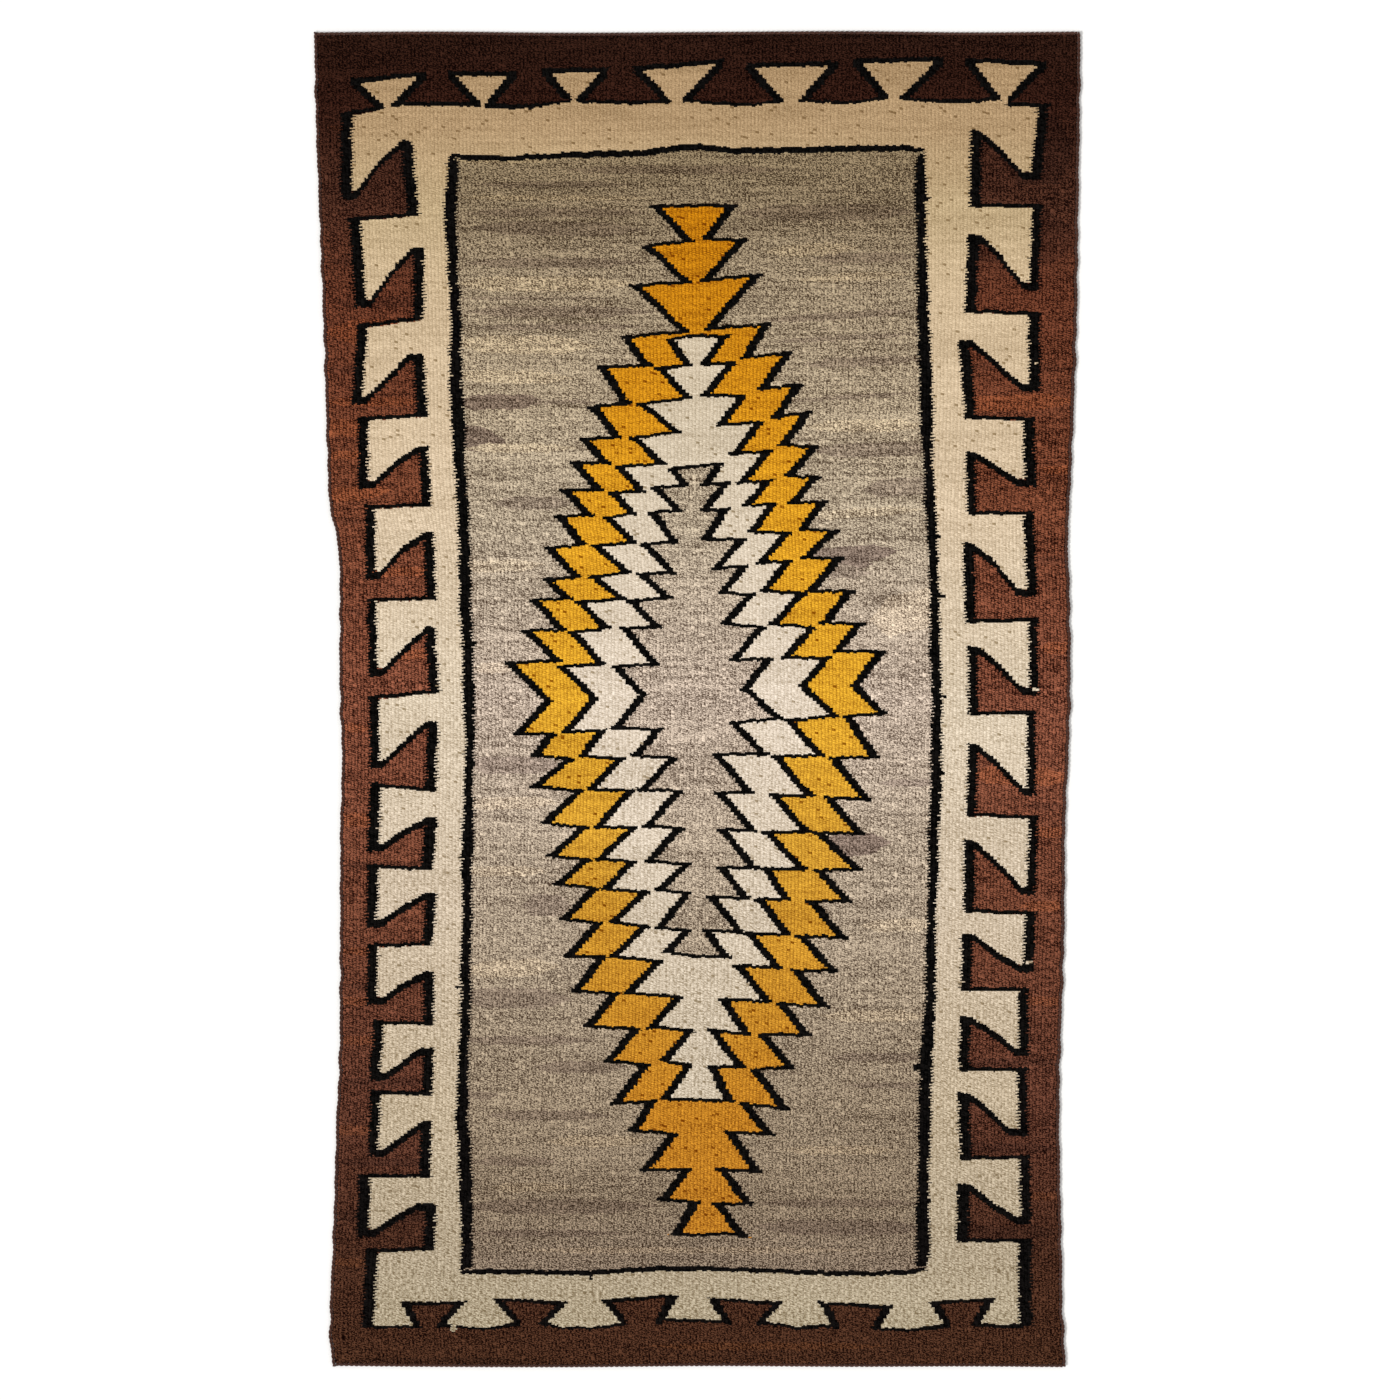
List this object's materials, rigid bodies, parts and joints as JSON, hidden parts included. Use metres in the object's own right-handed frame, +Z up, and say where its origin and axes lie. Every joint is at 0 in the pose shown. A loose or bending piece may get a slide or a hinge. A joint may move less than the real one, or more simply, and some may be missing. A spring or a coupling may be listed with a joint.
{
  "type": "rug",
  "caption": "Handwoven wool tapestry floor rug, lying flat, with stepped nested zigzags on a grey field, a brown toothed border and two-ply selvedge cords on all edges",
  "frame": {"origin": "The bottom centre of the rug's box: on the floor, under the middle of the cloth", "axes": "+X across the rug, +Y along the warps towards the wide end, +Z up, out of the face of the rug"},
  "size_m": [0.9592, 1.67, 0.0044],
  "materials": {
    "handspun_wool": "matt wool tapestry in brown, grey, cream, gold and black yarns",
    "selvedge_cord_wool": "matt two-ply wool cord, dark brown"
  },
  "bodies": {
    "root": {"rug_cloth": "handspun_wool", "side_cord_left": "selvedge_cord_wool", "side_cord_right": "selvedge_cord_wool", "end_cord_wide": "selvedge_cord_wool", "end_cord_narrow": "selvedge_cord_wool"}
  },
  "joints": []
}
